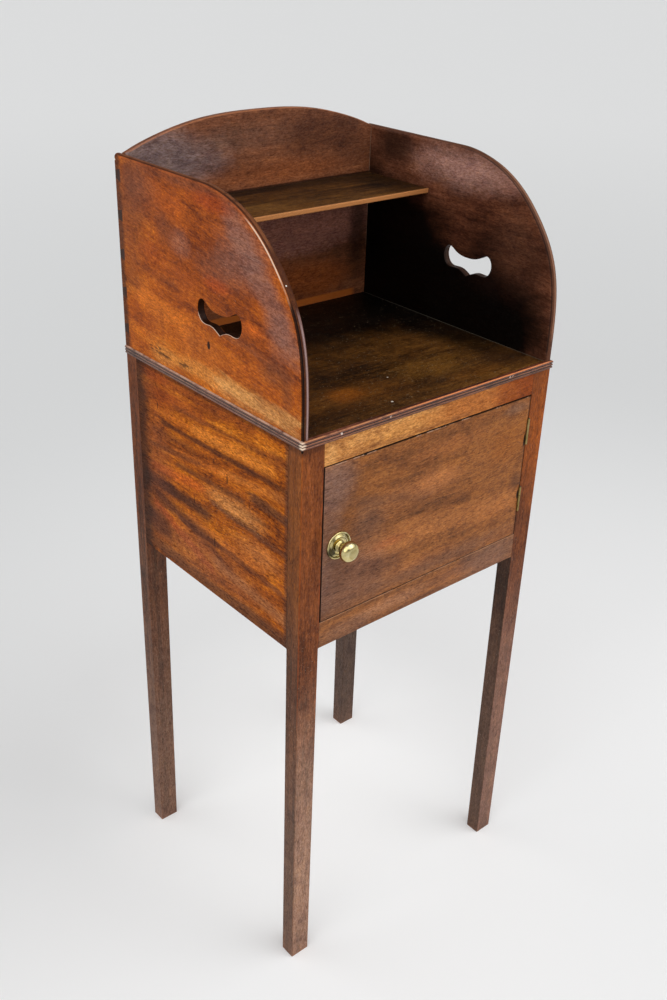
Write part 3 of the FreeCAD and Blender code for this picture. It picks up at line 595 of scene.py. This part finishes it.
door_side = any_of(slab("x", -160.4, -159.7, 0.1), slab("x", 160.2, 161.0, 0.1),
                   slab("z", 521.0, 522.5, 0.1), slab("z", 712.1, 713.0, 0.1))
assign("door_panel", wood(
    "door_panel", "X", 27.0, door_stops, broad=(3.6, 13.0, 0.8), band=(5.0, 48.0, 0.5),
    warp=0.012, tilt=0.025, contrast=0.72, pores=(190.0, 900.0, 0.70), fleck=0.62,
    # painted reflection: the left part of the door is greyer
    tints=[(F(-148, 690, 46, 46), lin(136, 102, 88), 0.75),
           (F(-154, 610, 30, 110), lin(126, 92, 78), 0.70),
           (FS(-70, 592, 130, 578, 24, 0.8), lin(180, 112, 58), 0.60),
           (F(120, 568, 50, 22), lin(168, 100, 46), 0.45),
           (F(26, 686, 90, 16), lin(176, 106, 54), 0.45),
           (F(126, 655, 54, 40), lin(148, 84, 28), 0.75),
           (F(-40, 640, 70, 30), lin(166, 104, 60), 0.45),
           (FS(-128, 662, -10, 634, 9, 0.8), lin(104, 66, 46), 0.45),
           (F(10, 645, 60, 22), lin(186, 116, 66), 0.55),
           # painted reflection: greyer lower left
           (F(-120, 560, 96, 60), lin(120, 84, 68), 0.70),
           (F(20, 534, 190, 16), lin(124, 84, 62), 0.60),
           (F(-73, 562, 60, 20), lin(112, 68, 42), 0.55),
           (F(-133, 575, 26, 36), lin(104, 64, 42), 0.55),
           (F(-60, 590, 34, 10), lin(168, 88, 44), 0.45),
           (F(136, 702, 34, 10), lin(130, 94, 72), 0.60),
           (F(134, 530, 46, 12), lin(128, 74, 40), 0.50),
           (F(150, 602, 14, 18), lin(90, 52, 30), 0.70),
           # painted reflection: a greyer patch left of the middle
           (F(-95, 628, 36, 40), lin(112, 80, 64), 0.50),
           (F(0, 545, 90, 12), lin(164, 100, 58), 0.30)],
    # painted shade of the gaps round the door: its edge faces and dark lines along its top, left and bottom edges
    marks=[(all_of(door_side, slab("y", -166.6, -140)), lin(22, 11, 7), 0.92),
           (all_of(slab("z", 711.9, 713.0, 0.15), slab("x", -112, 162, 6)), lin(20, 10, 6), 0.85),
           (wear_and_highlight(all_of(slab("z", 711.5, 712.55, 0.15), slab("y", -167.6, -166.7, 0.1)), 0.50, 0.60),
            lin(176, 140, 116), 0.8),
           (all_of(slab("x", -160.5, -159.5, 0.12), slab("y", -167.6, -140)), lin(20, 10, 6), 0.9),
           (all_of(slab("z", 521.5, 522.6, 0.12), slab("x", -162, -10, 12)), lin(24, 12, 8), 0.85),
           (wear_and_highlight(all_of(slab("z", 521.8, 522.9, 0.15), slab("x", 10, 162, 12))), lin(150, 110, 88), 0.5),
           (wear_and_highlight(all_of(slab("x", -159.5, -158.7, 0.15), slab("y", -167.6, -166.7, 0.1)), 0.44, 0.6),
            lin(150, 116, 96), 0.5),
           (all_of(slab("x", 158.6, 161, 0.6), slab("y", -167.6, -160)), lin(78, 44, 30), 0.6),
           (F(-104, 712.4, 3.0, 1.6, 0.2, 0.6), lin(18, 9, 6), 0.95),
           # painted shade in the slots beside the hinge barrels
           (F(158.0, 655, 1.9, 11.0, 0.2, 0.6), lin(10, 6, 4), 0.97),
           (F(157.9, 580, 1.9, 8.0, 0.2, 0.6), lin(10, 6, 4), 0.97)],
    rough=(0.34, 0.5), spec=0.12, coat=0.03))
assign("side_panel_left", wood(
    "side_panel_left", "Y", 33.0, side_stops, broad=(2.2, 15.0, 0.9), band=(3.4, 52.0, 0.7),
    warp=0.016, warp_scale=4.5, tilt=0.03, contrast=1.25, grain_amount=0.40, pores=(150.0, 640.0, 0.85), fleck=0.66,
    tints=[(L(110, 732, 60, 12), lin(190, 86, 20), 0.70),
           (L(62, 712, 80, 15), lin(146, 64, 16), 0.70),
           (LS(120, 733, -80, 733, 11, 0.7), lin(128, 58, 20), 0.62),
           (L(96, 708, 44, 30), lin(140, 58, 6), 0.70),
           (LS(100, 690, 10, 690, 7), lin(200, 108, 28), 0.70),
           (LS(20, 692, -110, 697, 11), lin(212, 124, 40), 0.80),
           (LS(90, 677, -140, 684, 5), lin(78, 40, 20), 0.75),
           (LS(85, 646, -30, 660, 8), lin(200, 108, 36), 0.66),
           (LS(-30, 660, -132, 672, 8), lin(206, 118, 42), 0.75),
           (LS(110, 662, 40, 664, 9), lin(110, 58, 26), 0.55),
           (LS(-90, 652, -150, 648, 10), lin(74, 46, 34), 0.75),
           (LS(60, 633, -60, 640, 6), lin(88, 48, 26), 0.65),
           (LS(110, 612, 20, 622, 9), lin(196, 92, 24), 0.70),
           (L(-50, 622, 74, 20), lin(214, 142, 76), 0.75),
           (LS(130, 592, 10, 592, 13), lin(66, 38, 26), 0.85),
           (L(-90, 585, 70, 22), lin(188, 116, 62), 0.55),
           (LS(40, 570, -100, 566, 9), lin(178, 98, 42), 0.55),
           (LS(110, 556, 0, 520, 10), lin(176, 76, 22), 0.70),
           (LS(-20, 534, -140, 522, 13), lin(164, 106, 66), 0.65),
           (LS(140, 500, -150, 492, 17, 0.8), lin(84, 52, 36), 0.80),
           (L(128, 716, 40, 40), lin(112, 52, 24), 0.70),
           (L(116, 600, 60, 130), lin(122, 66, 42), 0.50),
           (L(20, 528, 170, 44), lin(140, 86, 58), 0.50),
           (LS(60, 562, -130, 556, 6, 0.8), lin(92, 52, 36), 0.60),
           (LS(120, 640, 20, 652, 5, 0.8), lin(86, 44, 26), 0.60),
           (LS(-10, 612, -146, 606, 6, 0.8), lin(96, 58, 40), 0.60),
           (LS(110, 575, -20, 545, 6, 0.8), lin(96, 52, 36), 0.55),
           (LS(60, 706, -100, 712, 5, 0.8), lin(104, 52, 26), 0.55),
           (LS(140, 576, -5, 560, 13, 0.8), lin(82, 43, 25), 0.65),
           (L(112, 530, 56, 30), lin(82, 45, 30), 0.78),
           (L(-128, 714, 30, 13), lin(118, 60, 26), 0.60),
           (L(-130, 672, 24, 12), lin(112, 60, 32), 0.50),
           (LS(146, 490, 146, 741, 30, 0.45), lin(52, 29, 18), 0.85),
           (LS(-146, 490, -146, 741, 8, 0.3), lin(84, 52, 38), 0.65)],
    # painted shadow under the moulding
    marks=[(slab("z", 736.5, 742, 2.0), lin(50, 22, 10), 0.6),
           (slab("y", -146.6, -145.5, 0.3), lin(40, 22, 14), 0.85),
           (L(103, 695, 1.3, 6.0, 0.3, 0.6), lin(30, 14, 8), 0.8),
           (L(-12, 667, 1.2, 5.0, 0.3, 0.6), lin(30, 14, 8), 0.8),
           (L(-37, 655, 1.4, 8.0, 0.3, 0.6), lin(30, 14, 8), 0.8),
           (L(-10, 561, 1.2, 9.0, 0.3, 0.6), lin(30, 14, 8), 0.8),
           (L(-78, 640, 1.2, 5.0, 0.3, 0.6), lin(34, 16, 9), 0.7),
           (L(30, 600, 1.2, 5.0, 0.3, 0.6), lin(30, 14, 8), 0.7),
           (all_of(L(-60, 610, 110, 60), dust(7.0, 0.66, 0.74, 420.0)), lin(222, 190, 150), 0.35)],
    spec=0.05, coat=0.01, sheen_flecks=0.03))
assign("side_panel_right", wood(
    "side_panel_right", "Y", 39.0, side_stops, broad=(2.2, 15.0, 1.0), band=(3.4, 52.0, 0.7),
    warp=0.016, contrast=1.15, pores=(150.0, 640.0, 0.8), fleck=0.6,
    tints=[(LS(80, 690, -110, 700, 10), lin(216, 126, 36), 0.7),
           (LS(100, 600, -60, 610, 13), lin(70, 40, 26), 0.6),
           (LS(146, 490, 146, 741, 12, 0.3), lin(46, 26, 16), 0.75),
           (LS(-146, 490, -146, 741, 9, 0.3), lin(64, 38, 26), 0.65)],
    # painted shadow under the moulding
    marks=[(slab("z", 736.5, 742, 2.0), lin(50, 22, 10), 0.6)],
    spec=0.12, coat=0.03))
assign("top_rail_front", wood(
    "top_rail_front", "X", 45.0, rail_stops, broad=(3.0, 16.0, 0.7), band=(5.0, 60.0, 0.5),
    contrast=0.95, pores=(190.0, 860.0, 0.65),
    tints=[(F(150, 728, 80, 60, 0.35, 0.4), lin(138, 62, 14), 0.97),
           (F(60, 728, 90, 34), lin(178, 100, 42), 0.72),
           (F(-60, 722, 60, 16), lin(232, 164, 88), 0.45),
           (F(-152, 722, 12, 30), lin(224, 166, 100), 0.4),
           (FS(-140, 716, 60, 719, 5, 0.8), lin(150, 92, 48), 0.5)],
    # painted shade of the gap above the door, on the rail's lower arris and underside
    marks=[(all_of(slab("z", 713, 714.3, 0.2), slab("y", -167.6, -166.8, 0.1), slab("x", -120, 162, 14)),
            lin(34, 17, 9), 0.88),
           (all_of(slab("z", 713, 714.4, 0.1), slab("y", -166.9, -147)), lin(20, 10, 6), 0.92),
           (slab("x", -161.6, -160.9, 0.25), lin(96, 52, 30), 0.7),
           (slab("x", 160.9, 161.6, 0.25), lin(70, 34, 16), 0.7)],
    spec=0.08, coat=0.02))
assign("bottom_rail_front", wood(
    "bottom_rail_front", "X", 48.0, door_stops, broad=(3.0, 16.0, 0.8), band=(5.0, 60.0, 0.6),
    contrast=1.05, pores=(190.0, 860.0, 0.75), fleck=0.55,
    tints=[(F(-50, 504, 80, 14), lin(180, 124, 86), 0.6),
           (F(-115, 498, 60, 16), lin(124, 88, 70), 0.50),
           (F(60, 505, 90, 14), lin(160, 98, 60), 0.45),
           (F(120, 505, 90, 40), lin(122, 86, 68), 0.72),
           (F(20, 490, 160, 7), lin(96, 56, 38), 0.5)],
    # painted shade of the gap under the door, on the rail's top face
    marks=[(all_of(slab("z", 520.6, 521.1, 0.1), slab("y", -166.9, -147)), lin(22, 11, 7), 0.9),
           (wear_and_highlight(all_of(slab("z", 520.2, 521.1, 0.2), slab("y", -167.6, -166.6, 0.1)), 0.36, 0.5),
            lin(180, 132, 100), 0.6),
           (slab("x", -161.6, -160.9, 0.25), lin(60, 32, 20), 0.7)],
    spec=0.18, coat=0.05))

leg_seed = {"leg_front_left": 51.0, "leg_front_right": 54.0, "leg_back_left": 57.0,
            "leg_back_right": 60.0}
# painted reflection: the lower part of each leg is greyer
low_leg_sheen = lambda t: t.step(t.add(t.z, t.mul(t.sub(t.soft, 0.5), 0.25)), 0.46, 0.18)


def inner_right(t):
    """The tapered inner face of the front right leg."""
    face = t.add(t.mul(t.sub(0.487, t.z), 0.0025 / 0.487), 0.1615)
    return t.step(t.sub(t.x, face), 0.0009, 0.0004)


for n, s in leg_seed.items():
    sx = -1.0 if n.endswith("left") else 1.0
    sy = -1.0 if "front" in n else 1.0
    xo, yo = sx * 190.5, sy * 167.5
    ax, bx_ = sorted((xo, xo - sx * 1.0))
    ay, by = sorted((yo, yo - sy * 1.0))
    arris = all_of(slab("x", ax - 0.3, bx_, 0.15), slab("y", ay - 0.3, by, 0.15))
    # front faces and side faces have their own tones; their greyer lower parts are painted reflection
    on_front = lambda t: t.step(t.y, -0.1664 + YS, -0.1668 + YS)
    on_left = lambda t: t.step(t.x, -0.1894, -0.1900)
    tints = [(low_leg_sheen, lin(138, 108, 92), 0.60)]
    marks = []
    if n == "leg_front_left":
        tints += [(all_of(on_front, slab("z", 560, 745, 60)), lin(132, 68, 26), 0.62),
                  # painted reflection: greyer lower front and left faces
                  (all_of(on_front, slab("z", -10, 380, 120)), lin(178, 138, 114), 0.55),
                  (all_of(on_left, slab("z", -10, 560, 60)), lin(92, 66, 50), 0.55),
                  (all_of(on_left, slab("z", 520, 745, 60)), lin(134, 74, 22), 0.70)]
        marks += [(wear_and_highlight(all_of(arris, slab("z", 400, 735, 90)), 0.34, 0.52), lin(168, 78, 32), 0.42),
                  (wear_and_highlight(all_of(arris, slab("z", 20, 420, 60)), 0.42, 0.60), lin(140, 92, 68), 0.30),
                  (wear_and_highlight(all_of(slab("x", -163.0, -161.3, 0.2), slab("y", -167.6, -166.6, 0.1),
                               slab("z", 500, 716, 10)), 0.38, 0.6), lin(176, 80, 32), 0.6),
                  # painted shade in the gap beside the door, then a painted shadow under the moulding
                  (all_of(slab("x", -161.9, -161.0, 0.12), slab("z", 521, 714, 1)), lin(22, 11, 7), 0.85),
                  (all_of(slab("z", 734.5, 742, 2.0)), lin(60, 30, 16), 0.5),
                  (spot(-190.6, -167.6, 739.4, 2.6), lin(10, 5, 3), 0.95)]
    elif n == "leg_front_right":
        tints += [(all_of(on_front, slab("z", 590, 745, 70)), lin(166, 84, 22), 0.75),
                  # painted reflection: greyer lower front face
                  (all_of(on_front, slab("z", -10, 420, 90)), lin(140, 100, 84), 0.55),
                  (all_of(inner_right, slab("z", -10, 486, 2)), lin(84, 62, 50), 0.85),
                  # painted shade at the top of the inner face, under the cabinet
                  (all_of(inner_right, slab("z", 400, 486, 60)), lin(46, 31, 23), 0.80)]
        marks += [(wear_and_highlight(all_of(slab("x", 189.5, 190.8, 0.2), slab("y", -167.8, -166.5, 0.2)), 0.3, 0.5),
                   lin(120, 52, 20), 0.7),
                  (wear_and_highlight(all_of(slab("x", 163.0, 165.6, 0.3), slab("y", -167.8, -166.4, 0.2),
                               slab("z", 10, 486, 5)), 0.46, 0.7), lin(150, 108, 86), 0.4)]
    else:
        tints += [(slab("z", -10, 500, 80), lin(104, 80, 66), 0.5)]
        if sx > 0:
            tints += [(slab("z", -10, 500, 80), lin(66, 54, 48), 0.72)]
        marks += [(wear_and_highlight(arris, 0.42, 0.6), lin(130, 90, 66), 0.4)]
    marks += [(wear_and_highlight(slab("z", -1, 3, 1.5), 0.42, 0.6), lin(150, 104, 78), 0.5),
              (all_of(slab("z", 30, 520, 60), dust(s, 0.70, 0.76, 500.0)), lin(190, 168, 150), 0.3)]
    # painted shade on the inner faces of the front legs, in the gap beside the door
    if sy < 0:
        inner = (-161.6, -161.2) if sx < 0 else (161.2, 161.7)
        marks.append((all_of(slab("x", inner[0], inner[1], 0.1), slab("y", -166.9, -150),
                             slab("z", 521, 714, 1)), lin(22, 11, 7), 0.9))
    assign(n, wood(
        n, "Z", s, leg_stops, broad=(2.5, 26.0, 0.6), band=(3.0, 110.0, 0.7),
        streak=(16.0, 330.0, 0.7), warp=0.005, contrast=1.15, pores=(170.0, 900.0, 0.7),
        fleck=0.6, tints=tints, marks=marks, rough=(0.36, 0.52), spec=0.10, coat=0.02))

for n, s in (("moulding_left", 63.0), ("moulding_front", 66.0), ("moulding_right", 69.0)):
    left = n == "moulding_left"
    # painted highlights on the upper part of each reed
    ridge_highlight = lin(206, 158, 128) if left else lin(212, 136, 80)
    tops = [741.0 + 1.5 * 1.62, 744.0 + 1.6 * 1.62, 747.2 + 1.75 * 1.66]
    marks = []
    for i, z in enumerate(tops):
        marks.append((wear_and_highlight(slab("z", z - 0.50, z + 0.55, 0.3), 0.26, 0.6), ridge_highlight, 0.52 + 0.12 * i))
    # painted shade in the grooves between the reeds
    for z in (741.2, 744.0, 747.2):
        marks.append((slab("z", z - 0.65, z + 0.65, 0.3), lin(24, 9, 6), 0.85))
    # painted highlight: the reeds are lit almost white at the front left angle
    corner_highlight = spot(-191.6, -168.6, 746.0, 6.2)
    for z in tops:
        marks.append((all_of(corner_highlight, slab("z", z - 0.9, z + 0.9, 0.3)), lin(250, 226, 198), 0.85))
    marks.append((wear_and_highlight(slab("z", 741, 752), 0.66, 0.72), lin(60, 30, 20), 0.6))
    if n == "moulding_front":
        for x, z, r in ((116.0, 747.6, 1.7), (121.0, 747.6, 1.4), (-140.0, 747.0, 1.8),
                        (-72.0, 747.6, 1.6)):
            marks.append((spot(x, -169.0, z, r), lin(240, 220, 206), 0.9))
        # painted highlight along the top arris of the front moulding
        marks.append((all_of(slab("z", 749.4, 751.1, 0.3), slab("y", -168.9, -167.9, 0.2),
                             slab("x", -40, 190, 40)), lin(226, 128, 66), 0.85))
    else:
        # painted highlight along the top arris
        marks.append((wear_and_highlight(slab("z", 750.2, 751.1, 0.2), 0.3, 0.6), lin(222, 186, 160), 0.55))
    assign(n, wood(
        n, "X" if n == "moulding_front" else "Y", s, mould_stops, broad=(5.0, 60.0, 0.7),
        band=(7.0, 140.0, 0.6), pores=(70.0, 420.0, 0.5), warp=0.003, marks=marks,
        rough=(0.26, 0.42), spec=0.40, coat=0.20, coat_rough=0.2))

for n, s, g in (("carcass_back", 72.0, "X"), ("cupboard_floor", 75.0, "X"),
                ("glue_blocks", 78.0, "Y"), ("door_stop", 81.0, "X"),
                ("gallery_dowels", 84.0, "Z")):
    assign(n, wood(
        n, g, s, pine_stops, broad=(2.5, 12.0, 0.9), band=(3.5, 80.0, 0.7), contrast=0.9,
        pores=(60.0, 420.0, 0.25), fleck=0.25, warp=0.012, rough=(0.55, 0.75), spec=0.15,
        coat=0.0))


# ---------------------------------------------------------------------------
# metal
# ---------------------------------------------------------------------------
def brass(name, seed, dull=0.0, marks=()):
    t = Tree(name)
    t.soft = t.noise(t.P, 120.0, 2.0, 0.5)
    t.fine = t.noise(t.P, 400.0, 2.0, 0.6)
    n = t.noise(t.vec(t.P, loc=(seed, 0, 0)), 90.0, 3.0, 0.55)
    m = t.noise(t.vec(t.P, loc=(0, seed, 0)), 240.0, 3.0, 0.6)
    col = t.ramp(n, [(0.25, lin(196, 176, 112)), (0.5, lin(216, 200, 142)), (0.8, lin(236, 224, 180))])
    col = t.mix(t.mul(t.step(m, 0.60, 0.74), 0.22 + dull), col, lin(120, 98, 50))
    if dull:
        col = t.mix(1.0, col, (0.50, 0.44, 0.34, 1.0), "MULTIPLY")
    for mask, colour, amount in marks:
        col = t.mix(t.mul(mask(t), amount), col, colour)
    t.put(t.bsdf.inputs["Base Color"], col)
    t.bsdf.inputs["Metallic"].default_value = 1.0
    t.put(t.bsdf.inputs["Roughness"], t.step(n, 0.3, 0.7, 0.15 + dull * 0.3, 0.22 + dull * 0.3, False))
    t.put(t.bsdf.inputs["Normal"], t.bump(t.noise(t.P, 60.0, 2.0, 0.5), 0.00008))
    return t.mat


def steel(name, seed):
    t = Tree(name)
    n = t.noise(t.vec(t.P, loc=(seed, 0, 0)), 320.0, 4.0, 0.65)
    rust = t.step(t.noise(t.vec(t.P, loc=(0, seed, 1)), 140.0, 3.0, 0.6), 0.5, 0.68)
    col = t.ramp(n, [(0.3, lin(70, 66, 62)), (0.6, lin(112, 106, 98)), (0.8, lin(150, 142, 132))])
    col = t.mix(t.mul(rust, 0.6), col, lin(92, 54, 34))
    t.put(t.bsdf.inputs["Base Color"], col)
    t.bsdf.inputs["Metallic"].default_value = 0.9
    t.put(t.bsdf.inputs["Roughness"], t.step(n, 0.3, 0.7, 0.32, 0.6, False))
    t.put(t.bsdf.inputs["Normal"], t.bump(n, 0.00008))
    return t.mat


OLD_BRASS = lin(70, 56, 22)


def ring(lo, hi, soft=0.25):
    """Between two radii about the knob's axis, in mm."""
    def m(t):
        dx, dz = t.sub(t.x, -0.1378), t.sub(t.z, 0.6134)
        r = t.math("SQRT", t.add(t.mul(dx, dx), t.mul(dz, dz)))
        return t.inside(r, lo / 1000.0, hi / 1000.0, soft / 1000.0)
    return m


knob_brass = brass("knob_brass", 1.0, marks=[
    # painted reflection: darker zones on the head, darkest on the left, greenish low on the right
    (spot(-150.0, -173.0, 609.0, 10.5), lin(96, 88, 50), 0.88),
    (spot(-134.0, -182.0, 600.0, 6.5), lin(176, 178, 124), 0.7),
    (spot(-125.0, -172.0, 618.0, 7.0), lin(128, 124, 80), 0.7),
    (ring(0.0, 6.0, 0.6), lin(150, 130, 74), 0.5)])
rose_brass = brass("rose_brass", 1.5, marks=[
    (ring(14.0, 14.9), OLD_BRASS, 0.80), (ring(9.6, 10.6), OLD_BRASS, 0.75),
    (ring(4.4, 5.8), OLD_BRASS, 0.85),
    # painted reflection: dark zones on the rose, darkest on the left
    (spot(-149.0, -168.0, 609.0, 8.5), lin(44, 34, 12), 0.93),
    (spot(-128.0, -168.0, 622.0, 5.0), lin(110, 92, 44), 0.7)])
hinge_brass = brass("hinge_brass", 4.0, 0.62)
dull_steel = steel("old_steel", 2.0)
assign("knob", knob_brass)
assign("knob_backplate", rose_brass)
for n in nodes:
    if n.startswith("hinge_") and n.endswith("_leaf"):
        assign(n, hinge_brass)
    elif n.startswith("hinge_") or n.startswith("latch_"):
        assign(n, dull_steel)

for n, o in nodes.items():
    for p in o.data.polygons:
        p.use_smooth = True
    o.data.set_sharp_from_angle(angle=math.radians(32))

# ---------------------------------------------------------------------------
# floor, light, camera
# ---------------------------------------------------------------------------
me = bpy.data.meshes.new("floor")
R = 60.0
me.from_pydata([(-R, -R, 0), (R, -R, 0), (R, R, 0), (-R, R, 0)], [], [(0, 1, 2, 3)])
floor = bpy.data.objects.new("floor", me)
bpy.context.scene.collection.objects.link(floor)
t = Tree("floor_paper")
fx, fy = t.sub(t.x, 0.25), t.add(t.y, 0.35)
r = t.math("SQRT", t.add(t.mul(fx, fx), t.mul(fy, fy)))
# painted light: the floor is brighter close to the cabinet, a pool of light
light_pool = t.ramp(t.step(r, 0.35, 1.9), [(0.0, (0.838, 0.842, 0.846, 1.0)),
                                     (1.0, (0.725, 0.732, 0.735, 1.0))])
t.put(t.bsdf.inputs["Base Color"],
      t.mix(t.step(r, 2.0, 7.0), light_pool, (0.80, 0.805, 0.808, 1.0)))
# painted light: the floor glows a little about the cabinet, and more just under it, to lighten its shadows
t.bsdf.inputs["Emission Color"].default_value = (1.0, 1.0, 1.0, 1.0)
sx_, sy_ = t.sub(t.x, 0.06), t.sub(t.y, 0.17)
under = t.math("SQRT", t.add(t.mul(sx_, sx_), t.mul(sy_, sy_)))
t.put(t.bsdf.inputs["Emission Strength"],
      t.add(t.step(r, 2.2, 0.2, 0.0, 0.125), t.step(under, 0.42, 0.05, 0.0, 0.140)))
t.bsdf.inputs["Roughness"].default_value = 0.9
t.bsdf.inputs["Specular IOR Level"].default_value = 0.05
me.materials.append(t.mat)

world = bpy.data.worlds.new("studio")
bpy.context.scene.world = world
world.use_nodes = True
nt = world.node_tree
nt.nodes.clear()
wo = nt.nodes.new("ShaderNodeOutputWorld")
wb = nt.nodes.new("ShaderNodeBackground")
wb.inputs["Color"].default_value = (1.0, 1.0, 1.0, 1.0)
nt.links.new(wb.outputs[0], wo.inputs["Surface"])
tc = nt.nodes.new("ShaderNodeTexCoord").outputs["Generated"]


def soft_box(direction, wide, core, power):
    """Bright area of the sky about a direction: full inside the angle core, gone
    beyond the angle wide (degrees)."""
    d = Vector(direction).normalized()
    n = nt.nodes.new("ShaderNodeVectorMath")
    n.operation = "DOT_PRODUCT"
    nt.links.new(tc, n.inputs[0])
    n.inputs[1].default_value = d
    m = nt.nodes.new("ShaderNodeMapRange")
    m.interpolation_type = "SMOOTHSTEP"
    nt.links.new(n.outputs["Value"], m.inputs["Value"])
    m.inputs["From Min"].default_value = math.cos(math.radians(wide))
    m.inputs["From Max"].default_value = math.cos(math.radians(core))
    m.inputs["To Min"].default_value = 0.0
    m.inputs["To Max"].default_value = power
    return m.outputs["Result"]


total = None
for args in (((-0.62, 0.66, 0.46), 32, 19, 1.12), ((0.58, -0.48, 0.66), 32, 18, 1.12),
             ((-0.90, -0.20, 0.40), 28, 15, 0.55), ((-0.1, -0.1, 1.0), 40, 20, 0.43)):
    v = soft_box(*args)
    if total is None:
        total = v
    else:
        n = nt.nodes.new("ShaderNodeMath")
        n.operation = "ADD"
        nt.links.new(total, n.inputs[0])
        nt.links.new(v, n.inputs[1])
        total = n.outputs[0]
sep = nt.nodes.new("ShaderNodeSeparateXYZ")
nt.links.new(tc, sep.inputs[0])
band = nt.nodes.new("ShaderNodeMapRange")
band.interpolation_type = "SMOOTHSTEP"
nt.links.new(sep.outputs[2], band.inputs["Value"])
band.inputs["From Min"].default_value = 0.26
band.inputs["From Max"].default_value = 0.12
band.inputs["To Min"].default_value = 0.18
band.inputs["To Max"].default_value = 0.66
n = nt.nodes.new("ShaderNodeMath")
n.operation = "MAXIMUM"
nt.links.new(total, n.inputs[0])
nt.links.new(band.outputs["Result"], n.inputs[1])
nt.links.new(n.outputs[0], wb.inputs["Strength"])


def sun(name, az, el, strength, angle, colour=(1, 1, 1)):
    """Soft light from azimuth az (0 in front, 90 on the right) and elevation el."""
    d = bpy.data.lights.new(name, "SUN")
    d.energy = strength
    d.angle = math.radians(angle)
    d.color = colour
    o = bpy.data.objects.new(name, d)
    bpy.context.scene.collection.objects.link(o)
    a, e = math.radians(az), math.radians(el)
    towards = Vector((math.sin(a) * math.cos(e), -math.cos(a) * math.cos(e), math.sin(e)))
    o.rotation_euler = towards.to_track_quat("Z", "Y").to_euler()
    return o


sun("key_left", -62.0, 42.0, 1.02, 56.0)
sun("key_right", 18.0, 50.0, 0.90, 56.0)

yaw, pitch, roll = math.radians(41.31), math.radians(28.50), math.radians(2.09)
fwd = Vector((math.sin(yaw) * math.cos(pitch), math.cos(yaw) * math.cos(pitch), -math.sin(pitch)))
right = Vector((math.cos(yaw), -math.sin(yaw), 0.0))
up = right.cross(fwd)
r2 = math.cos(roll) * right + math.sin(roll) * up
u2 = -math.sin(roll) * right + math.cos(roll) * up
cam = bpy.data.cameras.new("camera")
cam.sensor_width = 36.0
cam.sensor_fit = "AUTO"
cam.lens = 1091.85 * 36.0 / 1000.0
cam.clip_end = 200.0
co = bpy.data.objects.new("camera", cam)
bpy.context.scene.collection.objects.link(co)
m = Matrix(((r2.x, u2.x, -fwd.x), (r2.y, u2.y, -fwd.y), (r2.z, u2.z, -fwd.z))).to_4x4()
m.translation = Vector((-0.8102, -0.9222 + YS, 1.2171))
co.matrix_world = m
bpy.context.scene.camera = co
bpy.context.scene.view_settings.view_transform = "Standard"
